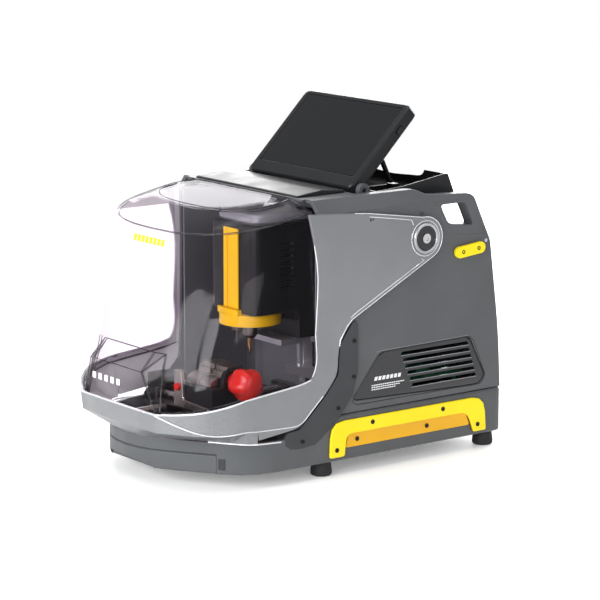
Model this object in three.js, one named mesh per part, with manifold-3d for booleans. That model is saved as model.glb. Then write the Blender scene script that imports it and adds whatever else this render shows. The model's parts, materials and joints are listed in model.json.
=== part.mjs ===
// Key duplicating machine: a closed cutting cell under a lifting hood, with a three-axis
// clamp and cutting head, a fold-down tablet and a chip drawer.
// Millimetres, +Z up, front towards -Y, right side at +X.
// The origin is on the floor, in the middle of the machine's bounding box.
import * as THREE from "three";
import { mergeVertices } from "three/addons/utils/BufferGeometryUtils.js";
import Module from "manifold-3d";

const wasm = await Module();
wasm.setup();

// ---- driving dimensions ----
const GAP = 0.3; // between pieces that touch
const FRONT = -239; // foremost point of the hood
const REAR = 239; // rearmost face of the base
const FLOOR = 18; // underside of the base, on its feet
const BASE_X = 149; // half width of the base
const SIDE_X = 146; // half width of the body above the shelf
const HOOD_X = 150; // half width of the hood frame
const OUTER_X = 153; // lift handles and pivot caps
const SHELF = 73; // top of the base
const WALL = 5; // body side thickness
const FLANGE_X = 118; // inner edge of the body sides' flanges
const PIVOT = [110, 274]; // hood pivot, y and z
const BOSS = 27; // radius of the hood arm's end
const DECK = 332; // top of the fixed deck
const TABLET_HINGE = [46, 333]; // y and z
const TABLET_TILT = 45; // degrees from level
const CLAMP_Y = -92; // middle of the clamp
const SPINDLE = [13, -52]; // cutter axis, x and y
const PROBE_X = -13; // probe axis, on the same y
const RING = [0, -42]; // middle of the light ring, x and y
const HEAD_MOTOR = [0, -2]; // spindle motor axis, x and y
const Z_RAIL = 58; // y of the head's guide rods
const Y_RAIL = [70, 57]; // x and z of the bed's guide rods
const X_RAIL_Z = 72;
const RAIL_SPREAD = 20; // the cross rods stand this far each side of CLAMP_Y
const KNOB = [-90, 104]; // clamp knob axis, y and z

const FINISHES = {
  body: [0x4b4e53, 0.62, 0.0],
  hood: [0x8a8d92, 0.42, 0.45],
  black: [0x131416, 0.4, 0.0],
  gloss: [0x0a0b0d, 0.12, 0.0],
  yellow: [0xf5d400, 0.45, 0.0],
  amber: [0xf5a800, 0.4, 0.0],
  red: [0xe0241c, 0.4, 0.0],
  rubber: [0x18191a, 0.9, 0.0],
  steel: [0xa9a49c, 0.35, 0.9],
  alloy: [0xc4c7ca, 0.4, 0.8],
  clear: [0xd9dde0, 0.05, 0.0],
  board: [0x14532d, 0.6, 0.0],
};

const root = new THREE.Group();

// ---- solids ----
function solid(geometry) {
  const plain = geometry.clone();
  for (const name of Object.keys(plain.attributes)) {
    if (name !== "position") plain.deleteAttribute(name);
  }
  const merged = mergeVertices(plain, 1e-4);
  const index = merged.index.array;
  const triangles = [];
  for (let i = 0; i < index.length; i += 3) {
    const [a, b, c] = [index[i], index[i + 1], index[i + 2]];
    if (a !== b && b !== c && c !== a) triangles.push(a, b, c);
  }
  const mesh = new wasm.Mesh({
    numProp: 3,
    vertProperties: merged.attributes.position.array,
    triVerts: new Uint32Array(triangles),
  });
  return new wasm.Manifold(mesh);
}

function geometryOf(manifold) {
  const mesh = manifold.getMesh();
  const geometry = new THREE.BufferGeometry();
  geometry.setAttribute("position", new THREE.BufferAttribute(new Float32Array(mesh.vertProperties), 3));
  geometry.setIndex(new THREE.BufferAttribute(new Uint32Array(mesh.triVerts), 1));
  geometry.computeVertexNormals();
  return geometry;
}

const join = (...pieces) => pieces.reduce((a, b) => a.add(b));
const cut = (piece, ...tools) => tools.reduce((a, b) => a.subtract(b), piece);
const mirrored = (piece) => piece.mirror([1, 0, 0]);

function add(name, finish, piece, parent = root) {
  const [color, roughness, metalness] = FINISHES[finish];
  const material = new THREE.MeshStandardMaterial({ color, roughness, metalness });
  if (finish === "clear") Object.assign(material, { transparent: true, opacity: 0.35 });
  const mesh = new THREE.Mesh(geometryOf(piece), material);
  mesh.name = name;
  parent.add(mesh);
  return mesh;
}

// A closed outline. Each point is [u, v] or [u, v, radius], where radius rounds the corner.
function outline(points) {
  const shape = new THREE.Shape();
  const at = (i) => points[(i + points.length) % points.length];
  points.forEach(([u, v, radius = 0], i) => {
    const corner = new THREE.Vector2(u, v);
    const before = new THREE.Vector2(...at(i - 1).slice(0, 2)).sub(corner);
    const after = new THREE.Vector2(...at(i + 1).slice(0, 2)).sub(corner);
    const reach = Math.min(radius, before.length() * 0.45, after.length() * 0.45);
    const start = before.normalize().multiplyScalar(reach).add(corner);
    const end = after.normalize().multiplyScalar(reach).add(corner);
    if (i === 0) shape.moveTo(start.x, start.y);
    else shape.lineTo(start.x, start.y);
    if (reach > 0) shape.quadraticCurveTo(corner.x, corner.y, end.x, end.y);
  });
  shape.closePath();
  return shape;
}

const AXES = {
  x: [[0, 1, 0], [0, 0, 1], [1, 0, 0]], // outline in y and z
  y: [[0, 0, 1], [1, 0, 0], [0, 1, 0]], // outline in z and x
  z: [[1, 0, 0], [0, 1, 0], [0, 0, 1]], // outline in x and y
};

// Extrudes an outline along an axis from low to high, with an optional chamfer.
function prism(axis, shape, low, high, bevel = 0, holes = []) {
  const profile = Array.isArray(shape) ? outline(shape) : shape;
  profile.holes = holes.map((hole) => (Array.isArray(hole) ? outline(hole) : hole));
  const geometry = new THREE.ExtrudeGeometry(profile, {
    depth: high - low - 2 * bevel,
    curveSegments: 3,
    bevelEnabled: bevel > 0,
    bevelThickness: bevel,
    bevelSize: bevel,
    bevelOffset: -bevel,
    bevelSegments: 1,
  });
  geometry.translate(0, 0, low + bevel);
  const basis = AXES[axis].map((v) => new THREE.Vector3(...v));
  geometry.applyMatrix4(new THREE.Matrix4().makeBasis(...basis));
  return solid(geometry);
}

function box(x0, x1, y0, y1, z0, z1) {
  const geometry = new THREE.BoxGeometry(x1 - x0, y1 - y0, z1 - z0);
  geometry.translate((x0 + x1) / 2, (y0 + y1) / 2, (z0 + z1) / 2);
  return solid(geometry);
}

// A round bar along an axis; a and b are the other two coordinates, in x, y, z order.
function bar(axis, low, high, a, b, radius, sides = 20) {
  const geometry = new THREE.CylinderGeometry(radius, radius, high - low, sides);
  if (axis === "x") geometry.rotateZ(-Math.PI / 2);
  if (axis === "z") geometry.rotateX(Math.PI / 2);
  const middle = (low + high) / 2;
  if (axis === "x") geometry.translate(middle, a, b);
  if (axis === "y") geometry.translate(a, middle, b);
  if (axis === "z") geometry.translate(a, b, middle);
  return solid(geometry);
}

// A turned piece about a vertical axis; the profile is radius, height, from the axis and back to it.
function turned(profile, x, y, sides = 24) {
  const points = profile.map(([r, z]) => new THREE.Vector2(r, z));
  const geometry = new THREE.LatheGeometry(points, sides);
  geometry.rotateX(Math.PI / 2);
  geometry.translate(x, y, 0);
  const piece = solid(geometry);
  return piece;
}

// The base in plan: a narrow flat front, long slanting corners, then straight sides.
function plan(halfWidth, front, rear) {
  const [flat, slant, turn, corner] = [36, 77, 40, 14];
  const half = [[flat, front, turn], [halfWidth, front + slant, turn], [halfWidth, rear, corner]];
  const other = half.map(([x, y, radius]) => [-x, y, radius]).reverse();
  return [...half, ...other];
}

// A wall of even thickness behind a grid of outer points, rows[level][column].
function wallBehind(rows, thickness) {
  const [levels, columns] = [rows.length, rows[0].length];
  const outer = rows.map((row) => row.map((p) => new THREE.Vector3(...p)));
  const normal = (i, j) => {
    const sum = new THREE.Vector3();
    for (const [di, dj] of [[-1, -1], [-1, 0], [0, -1], [0, 0]]) {
      const [a, b] = [i + di, j + dj];
      if (a < 0 || b < 0 || a >= levels - 1 || b >= columns - 1) continue;
      const across = outer[a + 1][b + 1].clone().sub(outer[a][b]);
      const other = outer[a + 1][b].clone().sub(outer[a][b + 1]);
      sum.add(across.cross(other).normalize());
    }
    return sum.normalize();
  };
  const inner = outer.map((row, i) => row.map((p, j) => p.clone().addScaledVector(normal(i, j), -thickness)));
  const faces = [];
  const quad = (a, b, c, d) => faces.push(a, b, c, a, c, d);
  for (let i = 0; i < levels - 1; i++) {
    for (let j = 0; j < columns - 1; j++) {
      quad(outer[i][j], outer[i][j + 1], outer[i + 1][j + 1], outer[i + 1][j]);
      quad(inner[i][j], inner[i + 1][j], inner[i + 1][j + 1], inner[i][j + 1]);
    }
  }
  for (let j = 0; j < columns - 1; j++) {
    quad(outer[0][j + 1], outer[0][j], inner[0][j], inner[0][j + 1]);
    quad(outer[levels - 1][j], outer[levels - 1][j + 1], inner[levels - 1][j + 1], inner[levels - 1][j]);
  }
  for (let i = 0; i < levels - 1; i++) {
    quad(outer[i][0], outer[i + 1][0], inner[i + 1][0], inner[i][0]);
    quad(outer[i + 1][columns - 1], outer[i][columns - 1], inner[i][columns - 1], inner[i + 1][columns - 1]);
  }
  const geometry = new THREE.BufferGeometry().setFromPoints(faces);
  return solid(geometry);
}

// ---- base ----
const BAY = -173; // where the drawer front meets the pan
const TRAY_X = 109; // half the width of the drawer's tray
function basePan() {
  const skin = 4.5;
  const lipTop = 56; // the front wall is lower than the shelf
  const bay = [BAY, 42]; // the drawer front fills the space before and below this
  const wallTop = [[-300, lipTop], [-86, lipTop], [-70, SHELF], [-70, 90], [-300, 90]];
  const bedRail = box(113, 119, -160, 56, FLOOR + 2, 43.7);
  const shell = cut(
    prism("z", plan(BASE_X, -226, REAR), FLOOR, SHELF, 2),
    prism("z", plan(BASE_X - skin, -226 + skin, REAR - skin), FLOOR + 4, SHELF + 9),
    prism("x", wallTop, -200, 200),
    box(-200, 200, -260, bay[0], 0, bay[1]),
    box(-TRAY_X - GAP, TRAY_X + GAP, BAY - 5, -150, FLOOR + 4, bay[1]), // the tray's way out
  );
  return join(shell, bedRail, mirrored(bedRail));
}
add("base_pan", "body", basePan());

function chipDrawer() {
  const front = prism("z", plan(BASE_X, -226, 0), FLOOR + GAP, 42 - GAP, 2);
  const hollow = prism("z", plan(BASE_X - 4.5, -221.5, 0), FLOOR + 5, 42 - 4);
  const within = (clear) => prism("z", plan(BASE_X - clear, -226 + clear, 0), 0, 80);
  const bumper = cut(front, box(-200, 200, BAY - GAP, 10, 0, 60), hollow);
  const tray = box(-TRAY_X, TRAY_X, -216, -40, FLOOR + 4 + GAP, 40).intersect(within(6));
  const inside = box(-106, 106, -216, -43, FLOOR + 7, 60).intersect(within(10));
  const pull = prism("x", [[-240, 10], [-214, 10], [-214, 24, 6], [-240, 30]], -45, 45);
  return cut(join(bumper, tray), inside, pull);
}
add("chip_drawer", "body", chipDrawer());

const FEET = { foot_front_left: [-132, -34], foot_front_right: [132, -34], foot_rear_left: [-132, 220],
  foot_rear_right: [132, 220] };
for (const [name, [x, y]] of Object.entries(FEET)) {
  const profile = [[0, 0], [11, 0], [13, 2], [13, 6], [11.5, FLOOR - GAP], [0, FLOOR - GAP]];
  add(name, "rubber", turned(profile, x, y, 28));
}

// ---- body ----
const VENT = [[1.5, 87.3, 8], [45.3, 142, 8], [185.5, 144, 8], [211.6, 91.8, 5], [201.2, 80.5, 8]];
const HAND_HOLE = [[136.7, 311.3, 5], [149.7, 287, 6], [189.6, 282.2, 5], [175.5, 311.4, 5]];

function inset(points, distance) {
  const middle = points.reduce(([a, b], [u, v]) => [a + u / points.length, b + v / points.length], [0, 0]);
  return points.map(([u, v, radius = 0]) => {
    const length = Math.hypot(u - middle[0], v - middle[1]);
    const k = 1 - distance / length;
    return [middle[0] + (u - middle[0]) * k, middle[1] + (v - middle[1]) * k, radius];
  });
}

function bodySide() {
  const profile = [
    [-74, SHELF + GAP], [236.6, SHELF + GAP], [232.7, 146, 30], [217.5, 261, 6], [211, 274, 4],
    [189, 321, 8], [122, 324.5, 6], [106, DECK, 6], [-47.6, DECK], [-46, 253], [-48, 143], [-50, 100],
  ];
  const hollow = [
    [-90, 60], [231.5, 60], [227.7, 146], [212.5, 257],
    [207, 266], [118, 266], [112, DECK - 4], [-80, DECK - 4],
  ];
  const section = [
    [SHELF - 5, FLANGE_X], [SHELF - 5, SIDE_X], [316, SIDE_X], [DECK + 1, 131], [DECK + 1, FLANGE_X],
  ];
  const chamferInside = [
    [SHELF - 20, FLANGE_X - 5], [SHELF - 20, SIDE_X - WALL],
    [312, SIDE_X - WALL], [DECK - 4, 128], [DECK - 4, FLANGE_X - 5],
  ];
  const inside = prism(
    "x", hollow, FLANGE_X - 5, SIDE_X - WALL,
  ).intersect(prism("y", chamferInside, -120, 260));
  const pinHole = bar("x", 100, 200, ...PIVOT, 8.3);
  const body = prism("x", profile, FLANGE_X, SIDE_X, 1.2).intersect(prism("y", section, -120, 260));
  return cut(
    body,
    inside,
    box(FLANGE_X - 5, 128, 118, 245, 260, 340),
    prism("x", HAND_HOLE, 90, 200),
    prism("x", VENT, SIDE_X - WALL - 5, SIDE_X + 5),
    pinHole,
  );
}
const sideRight = bodySide();
add("body_side_right", "body", sideRight);
add("body_side_left", "body", mirrored(sideRight));

function ventGrille() {
  const panel = prism("x", inset(VENT, 0.8), SIDE_X - WALL + GAP, SIDE_X - 1, 0.8);
  const slots = Array.from({ length: 6 }, (_, i) => {
    const z = 92 + i * 8.2;
    const start = 77 + (133 - z) * 0.42;
    const end = 184 + (133 - z) * 0.32;
    return prism("x", [[start, z], [end, z], [end - 1.6, z + 4.4], [start + 1.6, z + 4.4]], 130, 160);
  });
  return cut(panel, ...slots);
}
add("vent_grille_right", "gloss", ventGrille());
add("vent_grille_left", "gloss", mirrored(ventGrille()));

function liftHandle() {
  const frame = [
    [-36, 23.5, 3], [-14, 23.5, 3], [-11, 50, 9], [178, 50, 12], [188, 23.5, 3], [208, 23.5, 3],
    [205, 67, 26], [-34, 67, 20],
  ];
  const back = [[-12, 33, 4], [183, 33, 4], [172, 58], [-4, 58]];
  const inner = BASE_X + GAP;
  return join(prism("x", frame, inner, OUTER_X, 0.8), prism("x", back, inner, inner + 1.2));
}
add("lift_handle_right", "yellow", liftHandle());
add("lift_handle_left", "yellow", mirrored(liftHandle()));

function trimStrip() {
  const [y, z, half, radius] = [181.5, 252.2, 16.5, 7];
  const tilt = 0.095; // radians, rising towards the rear
  const [c, s] = [Math.cos(tilt), Math.sin(tilt)];
  const at = (u, v) => [y + u * c - v * s, z + u * s + v * c];
  const [inner, outer] = [SIDE_X + GAP, OUTER_X - 2];
  const end = (side) => bar("x", inner, outer, ...at(side * half, 0), radius, 24);
  const web = [at(-half, -radius), at(half, -radius), at(half, radius), at(-half, radius)];
  return join(prism("x", web, inner, outer), end(1), end(-1));
}
add("trim_strip_right", "yellow", trimStrip());
add("trim_strip_left", "yellow", mirrored(trimStrip()));

// ---- rear ----
const FAN = [60, 150]; // x and z
const INLET = [-75, 101];
const SWITCH = [-40, 101];

function rearCover() {
  const skin = [
    [233.3, SHELF + 0.6], [236.3, SHELF + 0.6], [232.4, 146], [217.2, 258], [212, 267.5], [118, 267.5],
    [118, 264], [209.5, 264], [214, 257], [229.4, 146],
  ];
  const slots = Array.from({ length: 7 }, (_, i) => {
    const z = FAN[1] - 24.5 + i * 8;
    const reach = Math.sqrt(29 ** 2 - (z + 2 - FAN[1]) ** 2);
    return box(FAN[0] - reach, FAN[0] + reach, 222, 245, z, z + 4);
  });
  const shroud = cut(bar("y", 206, 231, ...FAN, 36, 32), bar("y", 200, 224, ...FAN, 33, 32),
    bar("y", 200, 240, ...FAN, 31, 32));
  const hub = bar("y", 222, 230.5, ...FAN, 8, 16);
  const spoke = box(FAN[0] - 2, FAN[0] + 2, 224, 230.5, FAN[1] - 34, FAN[1] + 34);
  const half = FLANGE_X - GAP;
  const upright = box(-half, half, 118, 121, 264, 299);
  const panel = cut(
    prism("x", skin, -half, half),
    box(INLET[0] - 14.5, INLET[0] + 14.5, 225, 245, INLET[1] - 12.5, INLET[1] + 12.5),
    box(SWITCH[0] - 7, SWITCH[0] + 7, 225, 245, SWITCH[1] - 11, SWITCH[1] + 11),
    ...slots,
  );
  const body = join(panel, upright, shroud, hub, spoke);
  return cut(body, box(-160, 160, 100, 245, 60, SHELF + 0.4));
}
add("rear_cover", "body", rearCover());

function powerInlet() {
  const [x, z] = INLET;
  const flange = prism(
    "y", [[z - 15, x - 17, 3], [z + 15, x - 17, 3], [z + 15, x + 17, 3], [z - 15, x + 17, 3]],
    236.3, 238.5,
  );
  const body = box(x - 14, x + 14, 206, 237, z - 12, z + 12);
  const socket = box(x - 10.5, x + 10.5, 220, 240, z - 8, z + 8);
  const pin = (dx, dz) => box(x + dx - 1, x + dx + 1, 219, 231, z + dz - 2.5, z + dz + 2.5);
  return join(cut(join(flange, body), socket), pin(-6, -1.5), pin(6, -1.5), pin(0, 2.5));
}
add("power_inlet", "black", powerInlet());

function powerSwitch() {
  const [x, z] = SWITCH;
  return prism(
    "x", [[228, z - 7], [234, z - 9.5], [238, z - 9], [236.4, z], [238, z + 9], [234, z + 9.5], [228, z + 7]],
    x - 6, x + 6,
  );
}
add("power_switch", "red", powerSwitch());

function fanRotor() {
  const [x, z] = FAN;
  const blades = Array.from({ length: 7 }, (_, i) => {
    const blade = new THREE.BoxGeometry(20, 1.6, 9);
    blade.rotateX(0.6);
    blade.translate(18.5, 0, 0);
    blade.rotateY((i * 2 * Math.PI) / 7);
    blade.translate(x, 214, z);
    return solid(blade);
  });
  return join(bar("y", 208, 221, x, z, 11, 20), ...blades);
}
add("fan_rotor", "black", fanRotor());

function powerSupply() {
  const shell = prism(
    "z", [[-118, 120, 3], [-8, 120, 3], [-8, 200, 3], [-118, 200, 3]], FLOOR + 4 + GAP, 66, 1,
  );
  const terminals = box(-112, -14, 196, 212, 26, 40);
  return join(shell, terminals);
}
add("power_supply", "alloy", powerSupply());

function controlBoard() {
  const chips = [
    [-90, 140, 22, 12], [-40, 150, 30, 9], [30, 135, 26, 14], [80, 150, 34, 8], [-10, 185, 40, 10],
  ];
  const parts = chips.map(([x, y, w, h]) => box(x - w / 2, x + w / 2, y - 9, y + 9, 92, 93 + h));
  const legs = [[-104, 126], [104, 126], [-104, 196], [104, 196]];
  const posts = legs.map(([x, y]) => bar("z", x < 0 ? 67 : FLOOR + 4 + GAP, 92, x, y, 3.5, 12));
  return join(box(-112, 112, 118, 204, 91, 93), ...parts, ...posts);
}
add("control_board", "board", controlBoard());

// ---- deck, tray and tablet ----
function topDeck() {
  const edge = FLANGE_X - GAP;
  const step = [
    [-52, DECK], [27, DECK], [27, 320], [58, 320],
    [58, 317], [24, 317], [24, DECK - 3], [-52, DECK - 3],
  ];
  const [y, z] = TABLET_HINGE;
  const post = join(box(105, 112, y - 8, y + 8, 318, z), bar("x", 105, 112, y, z, 8.5, 24));
  const eye = bar("x", 90, 130, y, z, 3, 20);
  return cut(join(prism("x", step, -edge, edge), post, mirrored(post)), eye, mirrored(eye));
}
add("top_deck", "body", topDeck());

function consolePanel() {
  const profile = [[-50, DECK + GAP], [23, DECK + GAP], [23, 335, 1], [-12, 338, 2], [-47, 334.4, 1.5]];
  return prism("x", profile, -104, 104, 0.6);
}
add("console_panel", "black", consolePanel());

function accessoryTray() {
  const half = 116;
  const wall = 2.5;
  const side = [
    [60, 300, 3], [158, 300, 4], [166, 314, 4],
    [184, 318, 3], [173, 344, 4], [102, 333.5], [60, 331],
  ];
  const inside = [[62.5, 302.5], [156.5, 302.5], [164.5, 316.5], [181, 320], [170, 350], [62.5, 350]];
  const notch = [[352, -80], [334, -62, 8], [330, 0, 10], [334, 62, 8], [352, 80]];
  const divider = (x) => box(x - 1.2, x + 1.2, 61, 150, 301, 322);
  const rest = box(44, 57, 134.5, 144, 301, 326.6);
  return join(
    cut(
      prism("x", side, -half, half, 0.6),
      prism("x", inside, -half + wall, half - wall), prism("y", notch, 150, 200),
    ),
    divider(-40), divider(30), divider(76), rest,
  );
}
add("accessory_tray", "black", accessoryTray());

const tablet = new THREE.Group();
tablet.position.set(0, ...TABLET_HINGE);
tablet.rotation.x = THREE.MathUtils.degToRad(TABLET_TILT);
root.add(tablet);

const TABLET = { half: 104, low: -9, high: 123.5, back: -3, front: 14 };
const STRUT_PIN = [80, -9]; // on the tablet's back, along it and behind it

function tabletCase() {
  const { half, low, high, back, front } = TABLET;
  const corners = [[-half, low, 10], [half, low, 10], [half, high, 10], [-half, high, 10]];
  const screen = box(-94.5, 94.5, 8.5, 117, front - 2.2, front + 5);
  const pocket = box(100, 110, 84, 96, 2, 8);
  const lug = (x) => prism("x", [[72, back + 1], [88, back + 1], [84, -12, 3], [76, -12, 3]], x, x + 5);
  const pin = bar("x", 43, 58, ...STRUT_PIN, 2.1, 16);
  const hinge = bar("x", -111.5, 111.5, 0, 0, 2.6, 16);
  const body = cut(prism("z", corners, back, front, 2), screen, pocket);
  return join(body, lug(42.3), lug(53.7), pin, hinge);
}
add("tablet_case", "black", tabletCase(), tablet);
add("tablet_screen", "gloss", box(-94, 94, 9, 116.5, TABLET.front - 2, TABLET.front - 0.4), tablet);
add(
  "tablet_button", "black",
  prism("x", [[84.6, 2.6, 2], [95.4, 2.6, 2], [95.4, 7.4, 2], [84.6, 7.4, 2]], 101.2, 105), tablet,
);

const STRUT_FOOT = [134, 330]; // y and z
function tabletStrut() {
  const tilt = THREE.MathUtils.degToRad(TABLET_TILT);
  const [u, w] = STRUT_PIN;
  const top = [TABLET_HINGE[0] + u * Math.cos(tilt) - w * Math.sin(tilt),
    TABLET_HINGE[1] + u * Math.sin(tilt) + w * Math.cos(tilt)];
  const [dy, dz] = [STRUT_FOOT[0] - top[0], STRUT_FOOT[1] - top[1]];
  const length = Math.hypot(dy, dz);
  const [ny, nz] = [-dz / length * 2, dy / length * 2];
  const web = [[top[0] + ny, top[1] + nz], [top[0] - ny, top[1] - nz],
    [STRUT_FOOT[0] - ny, STRUT_FOOT[1] - nz], [STRUT_FOOT[0] + ny, STRUT_FOOT[1] + nz]];
  const rod = join(
    prism("x", web, 47.8, 53.2),
    bar("x", 47.8, 53.2, ...top, 4, 20),
    bar("x", 46.5, 54.5, ...STRUT_FOOT, 2.5, 16),
  );
  return cut(rod, bar("x", 40, 60, ...top, 2.5, 16));
}
add("tablet_strut", "black", tabletStrut());

// ---- chamber ----
function chamberLiner() {
  const [half, low, high] = [138, 49, 314];
  const outer = [[-half, -46], [half, -46], [half, 74, 24], [-half, 74, 24]];
  const inner = [[-half + 3, -60], [half - 3, -60], [half - 3, 71, 21], [-half + 3, 71, 21]];
  return cut(prism("z", outer, low, high), prism("z", inner, low - 5, high + 5),
    box(-56, 56, 60, 80, low - 5, 292), box(-150, 150, 58, 80, 298, high + 5));
}
add("chamber_liner", "body", chamberLiner());

// ---- hood ----
const RIM = [[-60, 123], [-79, 118], [-166, 109], [-197, 101], [-218, 95], [-235, 92]];
function rimHeight(y) {
  if (y >= RIM[0][0]) return RIM[0][1];
  for (let i = 1; i < RIM.length; i++) {
    const [[y0, z0], [y1, z1]] = [RIM[i - 1], RIM[i]];
    if (y >= y1) return z0 + ((y - y0) / (y1 - y0)) * (z1 - z0);
  }
  return RIM.at(-1)[1];
}

// Half a plan of the visor, from the middle of the front to the side's rear edge.
const CORNER_COLUMNS = 8;
const SIDE_COLUMNS = 3;
function halfPlan(halfWidth, front, depth, power, rear) {
  const arc = Array.from({ length: CORNER_COLUMNS }, (_, i) => {
    const angle = (Math.PI / 2) * ((i + 1) / CORNER_COLUMNS);
    const across = Math.sin(angle) ** (2 / power);
    const along = Math.cos(angle) ** (2 / power);
    return [halfWidth * across, front + depth * (1 - along)];
  });
  const start = front + depth;
  const side = Array.from({ length: SIDE_COLUMNS }, (_, i) => [
    halfWidth,
    start + ((rear - start) * (i + 1)) / SIDE_COLUMNS,
  ]);
  return [[0, front], ...arc, ...side];
}

// One level of the visor: nose points replace the first columns beside the middle.
function level(points, height, nose = []) {
  const half = points.map(([x, y]) => [x, y, height(y)]);
  const middle = nose.length ? [0, nose[0][1], nose[0][2]] : half[0];
  const replaced = [middle, ...nose, ...half.slice(1 + nose.length)];
  const left = replaced.slice(1).reverse().map(([x, y, z]) => [-x, y, z]);
  return [...left, ...replaced];
}

function visorRows() {
  const x = SIDE_X + 0.4;
  const shoulder = (y) => 297 + ((y + 186) / 128) * 24;
  const brow = (y) => 320 + ((y + 132) / 74) * 10.5;
  const top = halfPlan(103, -132, 44, 2.4, -58);
  const rearEdge = top.map((p, i) => [(103 * i) / (top.length - 1), -58 + 0.01 * i]);
  return [
    level(halfPlan(x, -234, 110, 2.85, -54), (y) => rimHeight(y) - 6, [[74, -232.6, 86], [78, -229, 86]]),
    level(halfPlan(x, -234, 110, 2.85, -54), (y) => rimHeight(y) + 1, [[74, -234, 93.5], [78, -229, 93.5]]),
    level(
      halfPlan(x - 0.8, -223, 112, 2.7, -52),
      (y) => 139 + (y + 223) * 0.04, [[54, -238.4, 139], [70, -219, 141]],
    ),
    level(
      halfPlan(x - 1.2, -218, 112, 2.7, -52), (y) => 160 + (y + 218) * 0.05,
      [[52, -218.6, 160], [70, -214.4, 160]],
    ),
    level(halfPlan(x - 3, -186, 104, 2.6, -57), shoulder),
    level(top, brow),
    level(rearEdge, () => 332.4),
  ];
}
add("visor", "clear", wallBehind(visorRows(), 2.8));

function hoodArm() {
  const boss = Array.from({ length: 9 }, (_, i) => {
    const angle = THREE.MathUtils.degToRad(98 - i * 20);
    return [PIVOT[0] + BOSS * Math.cos(angle), PIVOT[1] + BOSS * Math.sin(angle)];
  });
  const profile = [
    [-66, 319.5], [24, 313.5, 40], ...boss, [-2, 187, 20], [-21, 160, 14], [-23, 124, 10], [-42, 101, 6],
    [-79, 67, 10], [-138, 60.4], [-150, 110.6], [-79, 118], [-60, 122.5, 10], [-52.5, 143, 10], [-55, 176],
    [-50, 253, 30],
  ];
  return cut(prism("x", profile, HOOD_X - 3.2, HOOD_X, 0.8), bar("x", 130, 160, ...PIVOT, 8.4, 24));
}

// The chin in plan: flat before the nose, then slanting back into the sides.
// Below its ridge it falls back to the base.
const CHIN = [
  [0, 0], [40, 0.3], [79, 1.5], [88, 7.5], [104, 16.5],
  [122, 28], [136, 42.5], [146, 61], [150, 84], [150, 99],
];
const CHIN_LOW = [
  [0, 12], [24, 12.4], [40, 16], [54, 24], [74, 37.5],
  [94, 51.2], [112, 63.5], [130, 76], [145, 87.5], [150, 99],
];

function hoodChin() {
  const ring = (points, setBack, height) =>
    level(points.map(([x, y]) => [x, FRONT + y + setBack * (x < 140 ? 1 : 0)]), height);
  const low = 57.6;
  const ridge = (y) => 70 + Math.max(0, (y + 200) / 60) * 4;
  return wallBehind([
    ring(CHIN_LOW, 0, () => low),
    ring(CHIN, 2.5, ridge),
    ring(CHIN, 0, rimHeight),
  ], 3.2);
}

function hoodFrame() {
  const arm = hoodArm();
  return join(arm, mirrored(arm), hoodChin());
}
add("hood_frame", "hood", hoodFrame());

function pivotCap() {
  return join(
    bar("x", HOOD_X + GAP, OUTER_X, ...PIVOT, 19, 32),
    bar("x", SIDE_X - 8, HOOD_X + 1, ...PIVOT, 8, 24),
  );
}
add("pivot_cap_right", "black", pivotCap());
add("pivot_cap_left", "black", mirrored(pivotCap()));

// ---- cutting head ----
function zColumn() {
  const leg = box(30, 50, 64, 82, FLOOR + 4 + GAP, 90);
  const rod = (x) => bar("z", 90, 255, x, Z_RAIL, 5, 20);
  const frame = join(
    box(-50, 50, 74.3, 82, 82, 262), box(-50, 50, 48, 82, 82, 94), box(-50, 50, 48, 82, 250, 262),
    leg, mirrored(leg), rod(32), rod(-32),
  );
  return cut(frame, bar("z", 240, 270, 0, Z_RAIL, 4.4));
}
add("z_column", "alloy", zColumn());
add("z_drive", "black", join(
  prism("z", [[-21, 37, 4], [21, 37, 4], [21, 79, 4], [-21, 79, 4]], 262 + GAP, 290, 1),
  bar("z", 97, 264, 0, Z_RAIL, 4),
));

function headCasting() {
  const [x, y] = SPINDLE;
  const lug = (side, z) => box(side * 33 - 10, side * 33 + 10, 45, 67, z, z + 18);
  const body = join(
    prism("z", [[-40, -62, 8], [40, -62, 8], [40, 25], [-40, 25]], 186, 194),
    box(-41, 41, 24, 46, 139, 244), box(-36, 36, -22, 25, 139, 146),
    bar("z", 190, 262, x, y, 11, 24), bar("z", 190, 232, PROBE_X, y, 8, 20),
    lug(1, 168), lug(-1, 168), lug(1, 218), lug(-1, 218), box(-12, 12, 45, 67, 196, 214),
  );
  return cut(
    body,
    bar("z", 180, 270, x, y, 6.5, 24), bar("z", 180, 240, PROBE_X, y, 4.4, 20),
    bar("z", 150, 250, 32, Z_RAIL, 5.4), bar("z", 150, 250, -32, Z_RAIL, 5.4),
    bar("z", 150, 250, 0, Z_RAIL, 4.4),
  );
}
add("head_casting", "alloy", headCasting());

function headCover() {
  const outer = [[-45, -69, 9], [45, -69, 9], [45, -20], [49, 22], [-49, 22], [-45, -20]];
  const inner = [[-42.3, -66.3, 7], [42.3, -66.3, 7], [42.3, -20], [46.3, 40], [-46.3, 40], [-42.3, -20]];
  const side = [[-69.5, 182], [-2, 182], [-2, 148], [23, 148], [23, 290], [-69.5, 290]];
  const hollow = [[-66.3, 170], [1, 170], [1, 140], [50, 140], [50, 287], [-66.3, 287]];
  const louvre = (i) => box(40, 55, -30, -10, 212 + i * 7.5, 215 + i * 7.5);
  const shell = prism("z", outer, 148, 290, 1).intersect(prism("x", side, -60, 60));
  const slots = Array.from({ length: 8 }, (_, i) => louvre(i));
  return cut(shell, prism("z", inner, 140, 287).intersect(prism("x", hollow, -60, 60)), ...slots,
    ...slots.map(mirrored));
}
add("head_cover", "black", headCover());

add(
  "head_cap", "alloy",
  prism("z", [[-41, -64, 14], [41, -64, 14], [44, 19, 8], [-44, 19, 8]], 290 + GAP, 303, 4),
);

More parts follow.
